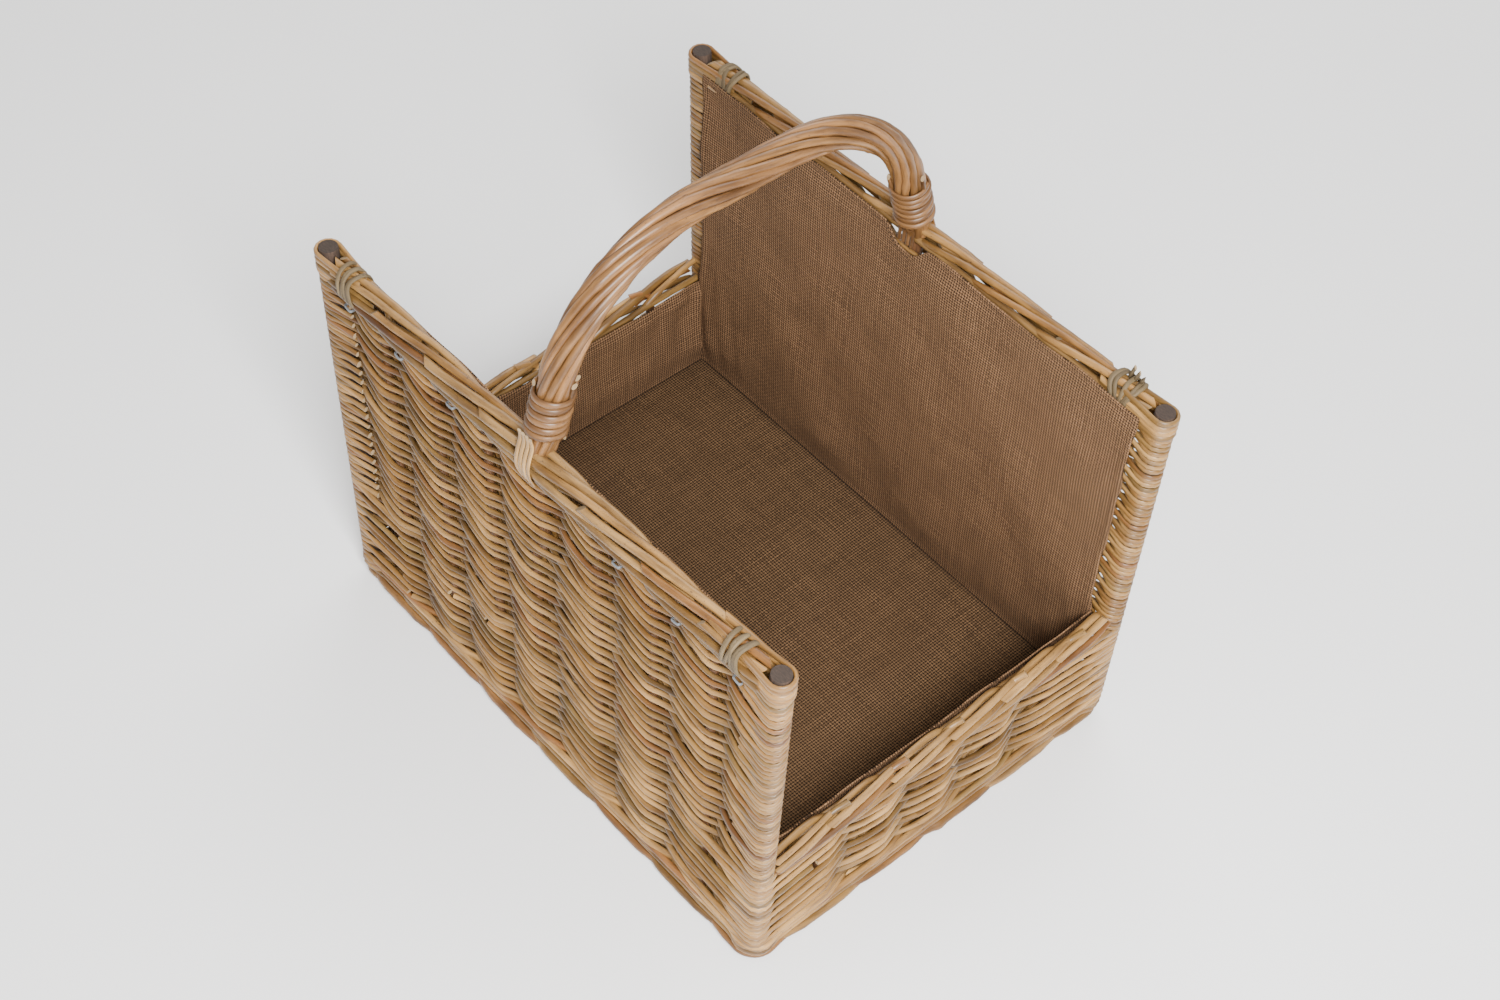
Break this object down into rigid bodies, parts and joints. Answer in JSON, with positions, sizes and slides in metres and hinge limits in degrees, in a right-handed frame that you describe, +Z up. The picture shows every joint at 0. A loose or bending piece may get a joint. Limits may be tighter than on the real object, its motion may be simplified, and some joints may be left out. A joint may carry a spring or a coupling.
{
  "type": "wicker log basket",
  "caption": "Oblong wicker log carrier with two tall side walls, low open ends, a fixed arched carrying handle and a hessian lining.",
  "frame": {"origin": "on the ground in the middle of the basket's foot", "axes": "+X along the basket's long walls, +Y across it under the handle towards the back wall, +Z up"},
  "size_m": [0.5204, 0.3844, 0.5157],
  "materials": {
    "willow": "buff and brown willow rods, satin",
    "border_rod": "thicker willow rods, satin",
    "handle_rod": "reddish brown willow rods, semi-gloss",
    "binding": "thin willow bindings, satin",
    "skein": "greyish olive split willow, matte",
    "stake": "brown willow sticks, matte",
    "bark": "dark bark with pale sawn ends, rough",
    "hessian": "plain-woven jute, rough",
    "zinc": "dull galvanised wire"
  },
  "bodies": {
    "root": {"post_front_left": "bark", "post_front_right": "bark", "post_back_left": "bark", "post_back_right": "bark", "front_stake_1": "stake", "front_stake_2": "stake", "front_stake_3": "stake", "front_stake_4": "stake", "front_stake_5": "stake", "front_stake_6": "stake", "front_stake_7": "stake", "back_stake_1": "stake", "back_stake_2": "stake", "back_stake_3": "stake", "back_stake_4": "stake", "back_stake_5": "stake", "back_stake_6": "stake", "back_stake_7": "stake", "left_stake_1": "stake", "left_stake_2": "stake", "left_stake_3": "stake", "left_stake_4": "stake", "left_stake_5": "stake", "right_stake_1": "stake", "right_stake_2": "stake", "right_stake_3": "stake", "right_stake_4": "stake", "right_stake_5": "stake", "foot_border": "border_rod", "wale": "willow", "base_weave": "willow", "base_stick_1": "stake", "base_stick_2": "stake", "base_stick_3": "stake", "base_stick_4": "stake", "base_stick_5": "stake", "tray_siding": "willow", "front_siding": "willow", "back_siding": "willow", "front_border": "border_rod", "back_border": "border_rod", "left_border": "border_rod", "right_border": "border_rod", "handle_bow": "stake", "handle_roping": "handle_rod", "front_handle_binding": "binding", "back_handle_binding": "binding", "front_handle_ties": "binding", "back_handle_ties": "binding", "corner_binding_front_left": "skein", "corner_binding_front_right": "skein", "corner_binding_back_left": "skein", "corner_binding_back_right": "skein", "liner_floor": "hessian", "liner_front": "hessian", "liner_back": "hessian", "liner_left": "hessian", "liner_right": "hessian", "staples": "zinc"}
  },
  "joints": []
}
